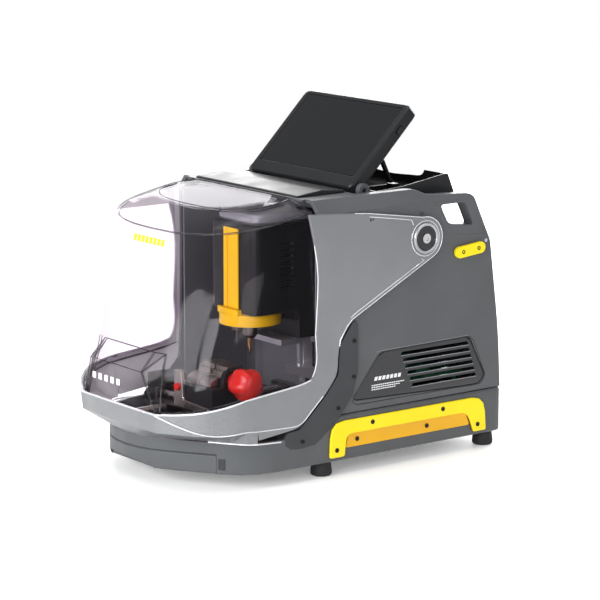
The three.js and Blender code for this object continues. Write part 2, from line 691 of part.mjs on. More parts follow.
function headStripe() {
  const [front, back] = [-71.4, -69 - GAP];
  return join(
    box(-14.5, 14.5, back - 0.7, back, 187, 285), box(-14.5, -7.5, front, back, 187, 285),
    box(-4.5, 14.5, front, back, 187, 285),
  );
}
add("head_stripe", "amber", headStripe());

function lightRing() {
  const ring = cut(bar("z", 166, 180, ...RING, 38, 40), bar("z", 160, 178.5, ...RING, 29, 32));
  const plate = bar("z", 178.5, 182 - GAP, ...RING, 33, 32);
  const collar = bar("z", 180, 186 - GAP, ...RING, 23.5, 24);
  const lip = prism("z", [[-24, -74], [0, -79], [20, -75.5], [20, -69.6], [-24, -69.6]], 179, 186.5);
  return cut(
    join(ring, plate, collar, lip),
    bar("z", 160, 190, ...SPINDLE, 6.5, 20), bar("z", 160, 190, PROBE_X, SPINDLE[1], 4.6, 16),
  );
}
add("light_ring", "amber", lightRing());

add("spindle", "steel", turned([
  [0, 160], [3.3, 160], [3.3, 150], [6.5, 150], [9, 154],
  [9, 176], [6, 178], [6, 264], [12, 266], [12, 280], [0, 280],
], ...SPINDLE));
add(
  "cutter", "steel",
  turned([[0, 129], [0.8, 129.5], [1.4, 136], [3, 141], [3, 159], [0, 159]], ...SPINDLE, 16),
);
add("probe_holder", "steel", turned([
  [0, 168], [2.2, 168], [2.2, 152], [5.5, 152], [7.5, 156], [7.5, 172], [4, 174], [4, 228], [0, 228],
], PROBE_X, SPINDLE[1]));
add("probe", "steel", turned([[0, 130], [0.5, 130.4], [0.9, 140], [1.9, 145], [1.9, 164], [0, 164]],
  PROBE_X, SPINDLE[1], 14));
add("spindle_motor", "black", join(
  bar("z", 194 + GAP, 262, ...HEAD_MOTOR, 19, 28), bar("z", 260, 284, ...HEAD_MOTOR, 2.5, 14),
));
add(
  "motor_pulley", "alloy",
  cut(bar("z", 266, 280, ...HEAD_MOTOR, 14, 28), bar("z", 260, 290, ...HEAD_MOTOR, 2.8, 14)),
);

// A belt's outline round two pulleys: the arcs that face away from each other.
function beltOutline([ax, ay], aRadius, [bx, by], bRadius) {
  const heading = Math.atan2(by - ay, bx - ax);
  const lean = Math.asin((aRadius - bRadius) / Math.hypot(bx - ax, by - ay));
  const arc = (x, y, radius, from, to) => Array.from({ length: 13 }, (_, i) => {
    const angle = from + ((to - from) * i) / 12;
    return [x + radius * Math.cos(angle), y + radius * Math.sin(angle)];
  });
  const quarter = Math.PI / 2 - lean;
  return [
    ...arc(bx, by, bRadius, heading - quarter, heading + quarter),
    ...arc(ax, ay, aRadius, heading + quarter, heading + 2 * Math.PI - quarter),
  ];
}
add("drive_belt", "rubber", cut(
  prism("z", beltOutline(SPINDLE, 13.7, HEAD_MOTOR, 15.7), 269, 277),
  prism("z", beltOutline(SPINDLE, 12.35, HEAD_MOTOR, 14.35), 260, 290),
));

// ---- bed and clamp ----
function bedPlate() {
  const [x, z] = Y_RAIL;
  const bore = (side) => bar("y", -250, 120, side * x, z, 5.3);
  const block = (y) => box(-82, 82, y, y + 10, 47, 66);
  const within = prism("z", plan(BASE_X - 7, -219, 100), 40, 60);
  return cut(
    join(box(-120, 120, -186, 62, 44, 48).intersect(within), block(-185), block(50)),
    box(-45, 45, -160, -30, 40, 50), bore(1), bore(-1), bar("y", 40, 70, 0, z, 4.4),
  );
}
add("bed_plate", "alloy", bedPlate());
add("y_rail_right", "steel", bar("y", -183, 59, ...Y_RAIL, 5));
add("y_rail_left", "steel", bar("y", -183, 59, -Y_RAIL[0], Y_RAIL[1], 5));
add("y_drive", "black", join(
  prism("y", [[36, -21, 4], [78, -21, 4], [78, 21, 4], [36, 21, 4]], 62 + GAP, 100, 1),
  bar("y", -174, 64, 0, Y_RAIL[1], 4),
));

function yCarriage() {
  const [x, z] = Y_RAIL;
  const [y0, y1] = [CLAMP_Y - 32, CLAMP_Y + 32];
  const bush = (side) => box(side * x - 8, side * x + 8, y0, y1, 50, 64);
  const end = (side) => box(Math.min(side * 82, side * 88), Math.max(side * 82, side * 88), y0, y1, 62, 79);
  const rail = (dy) => bar("x", -100, 100, CLAMP_Y + dy, X_RAIL_Z, 4.3);
  return cut(
    join(box(-88, 88, y0, y1, 62.5, 66.5), bush(1), bush(-1), end(1), end(-1),
      box(-10, 10, CLAMP_Y - 8, CLAMP_Y + 8, 50, 64)),
    bar("y", y0 - 5, y1 + 5, x, z, 5.4), bar("y", y0 - 5, y1 + 5, -x, z, 5.4),
    bar("y", y0 - 5, y1 + 5, 0, z, 4.4),
    rail(RAIL_SPREAD), rail(-RAIL_SPREAD), bar("x", -100, -70, CLAMP_Y, X_RAIL_Z, 4.2),
  );
}
add("y_carriage", "alloy", yCarriage());
add("x_rail_front", "steel", bar("x", -87.5, 87.5, CLAMP_Y - RAIL_SPREAD, X_RAIL_Z, 4));
add("x_rail_rear", "steel", bar("x", -87.5, 87.5, CLAMP_Y + RAIL_SPREAD, X_RAIL_Z, 4));
add("x_drive", "black", join(
  prism(
    "x", [[CLAMP_Y - 18, 54, 4], [CLAMP_Y + 18, 54, 4], [CLAMP_Y + 18, 90, 4], [CLAMP_Y - 18, 90, 4]],
    -126, -88 - GAP, 1,
  ),
  bar("x", -90, 80, CLAMP_Y, X_RAIL_Z, 3.5),
));

function clampSlide() {
  const [y0, y1] = [CLAMP_Y - 32, CLAMP_Y + 32];
  const lug = prism("x", [[-108, 97], [-72, 97], [-76, 118, 8], [-104, 118, 8]], 27, 34);
  const rail = (dy) => bar("x", -50, 50, CLAMP_Y + dy, X_RAIL_Z, 4.4);
  return cut(
    join(prism("x", [[y0, 67], [y1, 67], [y1, 98, 3], [y0, 98, 3]], -34, 34, 0.8), lug),
    rail(RAIL_SPREAD), rail(-RAIL_SPREAD),
    bar("x", -50, 50, CLAMP_Y, X_RAIL_Z, 3.9), bar("x", 20, 50, ...KNOB, 5.4),
  );
}
add("clamp_slide", "black", clampSlide());

function clampPlate() {
  const profile = [[66.8, -40, 2], [66.8, 32, 2], [74, 32, 2], [77, -20, 4], [112, -24, 3], [112, -38, 3]];
  return cut(prism("y", profile, -129, CLAMP_Y - 32 - GAP, 0.5), bar("y", -140, -110, -31, 91, 5));
}
add("clamp_plate", "steel", clampPlate());
add("clamp_button", "red", bar("y", -132, -125.9, -31, 91, 4.6, 24));

function jaw(low, high) {
  const profile = [
    [-119, 98.3], [-66, 98.3], [-66, 112], [-70, 120], [-95, 120], [-95, 115], [-101, 115], [-101, 109],
    [-110, 109], [-119, 104],
  ];
  return prism("x", profile, low, high, 0.5);
}
add("fixed_jaw", "steel", jaw(-26, -2));
add("moving_jaw", "steel", jaw(2, 24));

function clampKnob() {
  const lobes = 5;
  const rim = Array.from({ length: 40 }, (_, i) => {
    const angle = (i * 2 * Math.PI) / 40;
    const radius = 18 + 3.5 * Math.cos(lobes * angle);
    return [KNOB[0] + radius * Math.cos(angle), KNOB[1] + radius * Math.sin(angle)];
  });
  return join(prism("x", rim, 50, 76, 4), bar("x", 35, 52, ...KNOB, 12), bar("x", 24.6, 36, ...KNOB, 5));
}
add("clamp_knob", "red", clampKnob());

export default root;
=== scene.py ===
import json
import math

import bmesh
import bpy
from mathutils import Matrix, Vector

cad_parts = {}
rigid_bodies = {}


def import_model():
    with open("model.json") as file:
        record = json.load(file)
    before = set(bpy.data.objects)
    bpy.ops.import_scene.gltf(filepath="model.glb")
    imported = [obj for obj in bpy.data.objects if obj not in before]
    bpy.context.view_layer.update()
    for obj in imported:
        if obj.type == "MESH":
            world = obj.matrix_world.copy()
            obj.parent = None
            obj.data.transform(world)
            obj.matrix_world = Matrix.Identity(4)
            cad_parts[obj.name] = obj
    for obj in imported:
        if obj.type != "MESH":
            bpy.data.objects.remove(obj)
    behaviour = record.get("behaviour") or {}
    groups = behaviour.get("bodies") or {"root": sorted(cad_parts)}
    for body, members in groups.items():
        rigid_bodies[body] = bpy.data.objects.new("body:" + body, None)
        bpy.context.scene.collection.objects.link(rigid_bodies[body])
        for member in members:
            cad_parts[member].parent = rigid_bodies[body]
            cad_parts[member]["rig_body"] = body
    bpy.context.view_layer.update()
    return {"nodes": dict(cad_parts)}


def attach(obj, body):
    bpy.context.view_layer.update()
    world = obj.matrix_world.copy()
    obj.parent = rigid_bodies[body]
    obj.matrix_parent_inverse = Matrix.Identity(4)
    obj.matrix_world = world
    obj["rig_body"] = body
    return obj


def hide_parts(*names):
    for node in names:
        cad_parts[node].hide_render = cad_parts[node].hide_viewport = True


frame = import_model()

MM = 0.001


def mm(x, y, z):
    return Vector((x, y, z)) * MM


# ---- node trees ----


def put(tree, kind, values=None, **settings):
    """A node of this kind. settings are its properties, and values its inputs: numbers or links."""
    made = tree.nodes.new(kind)
    for key, value in settings.items():
        setattr(made, key, value)
    for key, value in (values or {}).items():
        if isinstance(value, bpy.types.NodeSocket):
            tree.links.new(value, made.inputs[key])
        else:
            made.inputs[key].default_value = value
    return made


def shade(colour, factor):
    return tuple(min(1.0, c * factor) for c in colour) + (1.0,)


def speckle(tree, place, scale, detail=3.0, stretch=(1, 1, 1)):
    at = put(tree, "ShaderNodeMapping", {"Vector": place, "Scale": stretch}).outputs["Vector"]
    values = {"Vector": at, "Scale": scale, "Detail": detail}
    return put(tree, "ShaderNodeTexNoise", values).outputs["Fac"]


def two_tone(tree, factor, dark, light, spread=(0.35, 0.65)):
    ramp = put(tree, "ShaderNodeValToRGB", {"Fac": factor})
    for stop, position, colour in zip(ramp.color_ramp.elements, spread, (dark, light)):
        stop.position = position
        stop.color = colour
    return ramp.outputs["Color"]


def band(tree, factor, low, high):
    values = {"Value": factor, "From Min": 0.3, "From Max": 0.7, "To Min": low, "To Max": high}
    return put(tree, "ShaderNodeMapRange", values).outputs["Result"]


def finish_start(name):
    material = bpy.data.materials.new(name)
    material.use_nodes = True
    tree = material.node_tree
    tree.nodes.clear()
    shader = put(tree, "ShaderNodeBsdfPrincipled")
    put(tree, "ShaderNodeOutputMaterial", {"Surface": shader.outputs["BSDF"]})
    place = put(tree, "ShaderNodeTexCoord").outputs["Object"]
    return material, tree, shader, place


def moulded(name, colour, rough, grain=1300, depth=0.25, mottle=0.07, metal=0.0, coat=0.0,
            flake=0.0, stretch=(1, 1, 1), gloss=0.5):
    """A moulded, painted or cast surface: clouded colour, fine grain and unevenly handled gloss."""
    material, tree, shader, place = finish_start(name)
    clouds = speckle(tree, place, 16, 5, stretch)
    base = two_tone(tree, clouds, shade(colour, 1 - mottle), shade(colour, 1 + mottle))
    fine = speckle(tree, place, grain, 2, stretch)
    if flake:
        glints = two_tone(tree, fine, shade(colour, 1 - flake), shade(colour, 1 + flake), (0.4, 0.6))
        mix = put(tree, "ShaderNodeMix", {"Factor": 0.5}, data_type="RGBA")
        sockets = [s for s in mix.inputs if s.type == "RGBA"]
        tree.links.new(base, sockets[0])
        tree.links.new(glints, sockets[1])
        base = [s for s in mix.outputs if s.type == "RGBA"][0]
    handled = speckle(tree, place, 38, 6)
    bump = put(tree, "ShaderNodeBump", {"Height": fine, "Strength": depth, "Distance": 0.0002})
    tree.links.new(base, shader.inputs["Base Color"])
    tree.links.new(band(tree, handled, rough - 0.05, rough + 0.05), shader.inputs["Roughness"])
    tree.links.new(bump.outputs["Normal"], shader.inputs["Normal"])
    shader.inputs["Metallic"].default_value = metal
    shader.inputs["Specular IOR Level"].default_value = gloss
    shader.inputs["Coat Weight"].default_value = coat
    shader.inputs["Coat Roughness"].default_value = 0.12
    return material


def clear_sheet(name, tint, gloss, most):
    """A thin clear plastic: mostly passed light, with a gloss that grows towards the edges."""
    material, tree, shader, place = finish_start(name)
    streaks = speckle(tree, place, 9, 3)
    passed = two_tone(tree, streaks, shade(tint, 0.985), shade(tint, 1.0))
    through = put(tree, "ShaderNodeBsdfTransparent", {"Color": passed})
    facing = put(tree, "ShaderNodeLayerWeight", {"Blend": 0.22}).outputs["Facing"]
    values = {"Value": facing, "From Min": 0.1, "From Max": 1.0, "To Min": gloss, "To Max": most}
    share = put(tree, "ShaderNodeMapRange", values).outputs["Result"]
    scuffs = speckle(tree, place, 60, 5)
    tree.links.new(band(tree, scuffs, 0.03, 0.07), shader.inputs["Roughness"])
    shader.inputs["Base Color"].default_value = (0.9, 0.9, 0.92, 1)
    shader.inputs["Metallic"].default_value = 1.0
    mix = put(tree, "ShaderNodeMixShader", {"Fac": share})
    tree.links.new(through.outputs["BSDF"], mix.inputs[1])
    tree.links.new(shader.outputs["BSDF"], mix.inputs[2])
    out = [n for n in tree.nodes if n.type == "OUTPUT_MATERIAL"][0]
    tree.links.new(mix.outputs["Shader"], out.inputs["Surface"])
    return material


BODY_GREY = moulded("body_grey_plastic", (0.07, 0.073, 0.079), 0.42, depth=0.35, gloss=0.4)
PAN_GREY = moulded("base_pan_plastic", (0.066, 0.07, 0.075), 0.42, depth=0.35, gloss=0.4)
LINER_GREY = moulded("chamber_liner_plastic", (0.12, 0.126, 0.136), 0.34, depth=0.2, gloss=0.45)
HOOD_SILVER = moulded("hood_silver_paint", (0.2, 0.206, 0.216), 0.36, grain=1700, depth=0.3,
                      mottle=0.1, metal=0.5, coat=0.1, flake=0.45)
# painted light: a much lighter copy of the hood silver for the arms' inner faces, standing in for the
# light falling on them
INNER_HOOD_PAINTED_LIGHT = moulded("inner_hood_painted_light", (0.82, 0.83, 0.85), 0.4, grain=1700, depth=0.2)
# painted shade: the band's near-black stands in for the shade of its recess behind the arm; the same grey
# prints the arm and side marks
BAND_SHADE_AND_PRINT_GREY = moulded("gasket_shade_and_print_grey", (0.03, 0.032, 0.036), 0.4, gloss=0.35)
# painted highlight: a light silver for beads along the hood's and base's edges, standing in for
# highlights on their chamfers
PAINTED_HIGHLIGHT_EDGE = moulded("painted_highlight_edge", (0.72, 0.73, 0.76), 0.24, grain=600, depth=0.1, metal=0.6)
RING_GREY = moulded("pivot_ring_paint", (0.42, 0.43, 0.45), 0.3, metal=0.6)
BLACK_PLASTIC = moulded("black_plastic", (0.010, 0.0105, 0.012), 0.38, depth=0.3, gloss=0.3)
TABLET_BLACK = moulded("tablet_shell_plastic", (0.010, 0.0105, 0.012), 0.35, grain=1800, depth=0.3,
                       gloss=0.3)
GLOSS_BLACK = moulded("gloss_black_panel", (0.010, 0.0105, 0.013), 0.18, grain=500, depth=0.05,
                      coat=0.2, gloss=0.4)
SCREEN_BLACK = moulded("screen_glass", (0.004, 0.0045, 0.006), 0.12, grain=90, depth=0.01, coat=0.1,
                       gloss=0.3)
HANDLE_YELLOW = moulded("handle_yellow_paint", (0.82, 0.64, 0.004), 0.4, mottle=0.03, depth=0.15,
                        gloss=0.3)
# painted shade: a darker copy of the handle yellow for the faces inside the handles' recess
YELLOW_RECESS_PAINTED_SHADE = moulded("handle_recess_painted_shade", (0.7, 0.36, 0.004), 0.42, mottle=0.03, depth=0.15,
                        gloss=0.3)
HEAD_YELLOW = moulded("cutting_head_yellow", (0.93, 0.56, 0.004), 0.36, mottle=0.03, depth=0.12,
                      gloss=0.3)
KNOB_RED = moulded("knob_red_plastic", (0.78, 0.014, 0.008), 0.3, mottle=0.04, depth=0.12, coat=0.1)
RUBBER = moulded("foot_rubber", (0.014, 0.0145, 0.016), 0.62, grain=900, depth=0.5, gloss=0.3)
STEEL = moulded("brushed_steel", (0.55, 0.5, 0.46), 0.3, grain=500, depth=0.15, metal=1.0,
                stretch=(1, 1, 9))
DARK_STEEL = moulded("blackened_steel", (0.16, 0.14, 0.13), 0.34, grain=700, depth=0.15, metal=1.0)
BRONZE = moulded("coated_cutter_steel", (0.62, 0.4, 0.2), 0.3, grain=700, depth=0.15, metal=1.0)
ALLOY = moulded("cast_alloy", (0.62, 0.63, 0.65), 0.34, grain=900, depth=0.35, metal=0.85)
# also used for painted highlights along the vent's louvre lips and top edge
CAP_GREY = moulded("head_cap_grey", (0.3, 0.31, 0.34), 0.38, metal=0.3)
SCREW_BLACK = moulded("screw_black_oxide", (0.02, 0.018, 0.018), 0.4, grain=900, metal=0.7)
SCREW_STEEL = moulded("screw_bright_steel", (0.6, 0.6, 0.62), 0.25, grain=900, metal=1.0)
MARK_WHITE = moulded("printed_white", (0.75, 0.76, 0.78), 0.5, depth=0.05)
MARK_YELLOW = moulded("printed_yellow", (0.9, 0.82, 0.01), 0.45, depth=0.05)
BOARD_GREEN = moulded("circuit_board", (0.02, 0.14, 0.06), 0.4, grain=300, depth=0.4)
VISOR_CLEAR = clear_sheet("clear_visor", (0.89, 0.865, 0.89), 0.008, 0.2)
# painted shade: a dark clear sheet for beads along the visor's creases, standing in for the dark lines
# refraction makes at the bends
CREASE_PAINTED_SHADE = clear_sheet("dark_clear_painted_crease_shade", (0.22, 0.2, 0.22), 0.06, 0.2)


# ---- pieces ----


def piece(name, mesh, material, body):
    """A finished mesh as a piece of the machine, on its body."""
    made = bpy.data.objects.new(name, mesh)
    bpy.context.scene.collection.objects.link(made)
    if material and not mesh.materials:
        mesh.materials.append(material)
    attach(made, body)
    return made


def soften(mesh, angle=32):
    mesh.shade_smooth()
    mesh.set_sharp_from_angle(angle=math.radians(angle))


def rounded(made, width, segments=2, angle=32):
    bevel = made.modifiers.new("rounded_edges", "BEVEL")
    bevel.width = width * MM
    bevel.segments = segments
    bevel.limit_method = "ANGLE"
    bevel.angle_limit = math.radians(angle)
    bevel.use_clamp_overlap = False
    bevel.harden_normals = True
    return made


def mesh_of(name, vertices, faces, outward=True):
    mesh = bpy.data.meshes.new(name)
    mesh.from_pydata([tuple(v) for v in vertices], [], faces)
    work = bmesh.new()
    work.from_mesh(mesh)
    bmesh.ops.remove_doubles(work, verts=work.verts, dist=1e-6)
    if outward:
        bmesh.ops.recalc_face_normals(work, faces=work.faces)
    work.to_mesh(mesh)
    work.free()
    return mesh


def turned(name, profile, centre, axis, steps, material, body, angle=35, lobe=None):
    """A profile of (radius, height) in mm turned about an axis; lobe(turn, height) scales the radius."""
    axis = Vector(axis).normalized()
    side = axis.orthogonal().normalized()
    other = axis.cross(side)
    centre = mm(*centre)
    vertices, faces = [], []
    for radius, height in profile:
        for step in range(steps):
            turn = 2 * math.pi * step / steps
            reach = radius * (lobe(turn, height) if lobe else 1.0) * MM
            spoke = side * math.cos(turn) + other * math.sin(turn)
            vertices.append(centre + axis * height * MM + spoke * reach)
    rows = len(profile)
    for row in range(rows - 1):
        for step in range(steps):
            after = (step + 1) % steps
            a, b = row * steps + step, row * steps + after
            faces.append((a, b, b + steps, a + steps))
    for row in (0, rows - 1):
        if profile[row][0] > 0:
            faces.append(tuple(row * steps + s for s in range(steps)))
    mesh = mesh_of(name, vertices, faces)
    soften(mesh, angle)
    return piece(name, mesh, material, body)


def plate(name, outline, side_x, thickness, material, body, width=0.3):
    """A flat plate standing off the side of the machine: outline in (y, z), from side_x outwards."""
    count = len(outline)
    vertices = [mm(x, y, z) for x in (side_x, side_x + thickness) for y, z in outline]
    faces = [tuple(range(count)), tuple(range(2 * count - 1, count - 1, -1))]
    faces += [(i, (i + 1) % count, (i + 1) % count + count, i + count) for i in range(count)]
    made = piece(name, mesh_of(name, vertices, faces), material, body)
    soften(made.data)
    return rounded(made, width) if width else made


def dressed(node, material, width=0.4, angle=32, segments=2):
    """A CAD node's shape, welded and with its edges rounded, shown in its place."""
    mesh = frame["nodes"][node].data.copy()
    mesh.materials.clear()
    work = bmesh.new()
    work.from_mesh(mesh)
    bmesh.ops.remove_doubles(work, verts=work.verts, dist=2e-5)
    bmesh.ops.dissolve_limit(work, angle_limit=math.radians(0.6), verts=work.verts, edges=work.edges)
    work.to_mesh(mesh)
    work.free()
    soften(mesh, angle)
    body = frame["nodes"][node]["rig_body"]
    made = piece(node + "_finished", mesh, material, body)
    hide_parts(node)
    return rounded(made, width, segments, angle) if width else made


# ---- repeated and followed shapes ----


def new_tree(name, inputs):
    tree = bpy.data.node_groups.new(name, "GeometryNodeTree")
    tree.interface.new_socket("Geometry", in_out="INPUT", socket_type="NodeSocketGeometry")
    tree.interface.new_socket("Geometry", in_out="OUTPUT", socket_type="NodeSocketGeometry")
    for label, kind in inputs.items():
        tree.interface.new_socket(label, in_out="INPUT", socket_type="NodeSocket" + kind)
    return tree, put(tree, "NodeGroupInput").outputs


def close_tree(tree, geometry, material):
    real = put(tree, "GeometryNodeRealizeInstances", {"Geometry": geometry}).outputs[0]
    dressed_up = put(tree, "GeometryNodeSetMaterial", {"Geometry": real, "Material": material})
    put(tree, "NodeGroupOutput", {"Geometry": dressed_up.outputs[0]})
    return tree


def screw_tree():
    """Socket-head screws, one on each point, standing along the point's axis attribute."""
    tree, given = new_tree("screw_heads", {
        "Head radius": "Float", "Head height": "Float", "Socket share": "Float",
        "Socket depth": "Float", "Material": "Material"})
    head = put(tree, "GeometryNodeMeshCylinder", {
        "Vertices": 18, "Side Segments": 1, "Fill Segments": 1,
        "Radius": given["Head radius"], "Depth": given["Head height"]})
    rim = put(tree, "GeometryNodeExtrudeMesh", {
        "Mesh": head.outputs["Mesh"], "Selection": head.outputs["Top"], "Offset Scale": 0.0,
        "Individual": False})
    socket = put(tree, "GeometryNodeScaleElements", {
        "Geometry": rim.outputs["Mesh"], "Selection": rim.outputs["Top"],
        "Scale": given["Socket share"]})
    down = put(tree, "ShaderNodeMath", {0: given["Socket depth"], 1: -1.0}, operation="MULTIPLY")
    sunk = put(tree, "GeometryNodeExtrudeMesh", {
        "Mesh": socket.outputs["Geometry"], "Selection": rim.outputs["Top"],
        "Offset Scale": down.outputs[0], "Individual": False})
    axis = put(tree, "GeometryNodeInputNamedAttribute", {"Name": "axis"}, data_type="FLOAT_VECTOR")
    turn = put(tree, "FunctionNodeAlignRotationToVector", {"Vector": axis.outputs["Attribute"]},
               axis="Z")
    points = put(tree, "GeometryNodeMeshToPoints", {"Mesh": given["Geometry"]})
    copies = put(tree, "GeometryNodeInstanceOnPoints", {
        "Points": points.outputs[0], "Instance": sunk.outputs["Mesh"],
        "Rotation": turn.outputs["Rotation"]})
    return close_tree(tree, copies.outputs[0], given["Material"])


def bead_tree():
    """A round bead along each edge chain."""
    tree, given = new_tree("edge_beads", {
        "Bead radius": "Float", "Sides": "Int", "Closed ends": "Bool", "Material": "Material"})
    line = put(tree, "GeometryNodeMeshToCurve", {"Mesh": given["Geometry"]})
    ring = put(tree, "GeometryNodeCurvePrimitiveCircle", {
        "Resolution": given["Sides"], "Radius": given["Bead radius"]})
    bead = put(tree, "GeometryNodeCurveToMesh", {
        "Curve": line.outputs[0], "Profile Curve": ring.outputs[0],
        "Fill Caps": given["Closed ends"]})
    smooth = put(tree, "GeometryNodeSetShadeSmooth", {"Geometry": bead.outputs[0]})
    return close_tree(tree, smooth.outputs[0], given["Material"])


SCREWS, BEADS = screw_tree(), bead_tree()


def grown(name, tree, vertices, edges, attributes, inputs, body):
    """The tree's result on these points or lines, as one plain mesh on one body."""
    seed = bpy.data.meshes.new(name + "_points")
    seed.from_pydata([tuple(v) for v in vertices], edges, [])
    for key, values in attributes.items():
        held = seed.attributes.new(key, "FLOAT_VECTOR", "POINT")
        held.data.foreach_set("vector", [c for value in values for c in value])
    holder = bpy.data.objects.new(name + "_seed", seed)
    bpy.context.scene.collection.objects.link(holder)
    nodes = holder.modifiers.new("grown", "NODES")
    nodes.node_group = tree
    for item in tree.interface.items_tree:
        if item.in_out == "INPUT" and item.name in inputs:
            nodes[item.identifier] = inputs[item.name]
    graph = bpy.context.evaluated_depsgraph_get()
    mesh = bpy.data.meshes.new_from_object(holder.evaluated_get(graph))
    holder.modifiers.remove(nodes)
    bpy.data.objects.remove(holder)
    mesh.name = name
    if not mesh.materials:
        mesh.materials.append(inputs["Material"])
    return piece(name, mesh, None, body)


def screws(name, places, radius, height, material, body, share=0.55):
    """places: (x, y, z, axis) in mm; the head's base stands at the place."""
    axes = [Vector(axis).normalized() for *_, axis in places]
    points = [mm(*at) + axis * height * MM / 2 for (*at, _), axis in zip(places, axes)]
    return grown(name, SCREWS, points, [], {"axis": axes}, {
        "Head radius": radius * MM, "Head height": height * MM, "Socket share": share,
        "Socket depth": height * MM * 0.7, "Material": material}, body)


def beads(name, lines, radius, material, body, sides=8):
    """lines: lists of (x, y, z) in mm; a line that ends where it starts is closed."""
    vertices, edges = [], []
    for line in lines:
        start = len(vertices)
        closed = line[0] == line[-1]
        points = line[:-1] if closed else line
        vertices += [mm(*p) for p in points]
        edges += [(start + i, start + i + 1) for i in range(len(points) - 1)]
        if closed:
            edges.append((start + len(points) - 1, start))
    return grown(name, BEADS, vertices, edges, {}, {
        "Bead radius": radius * MM, "Sides": sides, "Closed ends": True, "Material": material},
        body)


def decal(name, at, across, up, shapes, material, body, thickness=0.25):
    """Thin flat shapes standing off a surface: outlines in mm along across and up, from at."""
    across, up = Vector(across).normalized(), Vector(up).normalized()
    out = across.cross(up)
    vertices, faces = [], []
    for shape in shapes:
        start, count = len(vertices), len(shape)
        for lift in (0.0, thickness):
            vertices += [mm(*at) + (across * u + up * v + out * lift) * MM for u, v in shape]
        faces += [tuple(range(start, start + count)), tuple(range(start + count, start + 2 * count))]
        faces += [(start + i, start + (i + 1) % count, start + (i + 1) % count + count, start + i + count)
                  for i in range(count)]
    return piece(name, mesh_of(name, vertices, faces), material, body)


def block(u, v, width, height, slant=0.0):
    return [(u, v), (u + width, v), (u + width + slant, v + height), (u + slant, v + height)]


def loop(u, v, radius, wide=None, steps=16):
    wide = wide or radius
    return [(u + wide * math.cos(2 * math.pi * i / steps), v + radius * math.sin(2 * math.pi * i / steps))
            for i in range(steps)]


def smooth_line(points, steps=6):
    """A Catmull-Rom line through points."""
    out = []
    last = len(points) - 1
    for i in range(last):
        p = [Vector(points[max(0, min(last, i + k))]) for k in (-1, 0, 1, 2)]
        for s in range(steps):
            t = s / steps
            out.append(tuple(0.5 * (2 * p[1] + (p[2] - p[0]) * t
                       + (2 * p[0] - 5 * p[1] + 4 * p[2] - p[3]) * t * t
                       + (3 * p[1] - p[0] - 3 * p[2] + p[3]) * t ** 3)))
    return out + [tuple(points[-1])]


def both_sides(line):
    return [line, [(-x, y, z) for x, y, z in line]]


def arc(centre, radius, start, stop, steps):
    """Points (y, z) on an arc, angles in degrees from +Y towards +Z."""
    return [(centre[0] + radius * math.cos(math.radians(start + (stop - start) * i / steps)),
             centre[1] + radius * math.sin(math.radians(start + (stop - start) * i / steps)))
            for i in range(steps + 1)]


# ---- CAD shapes in their finishes ----

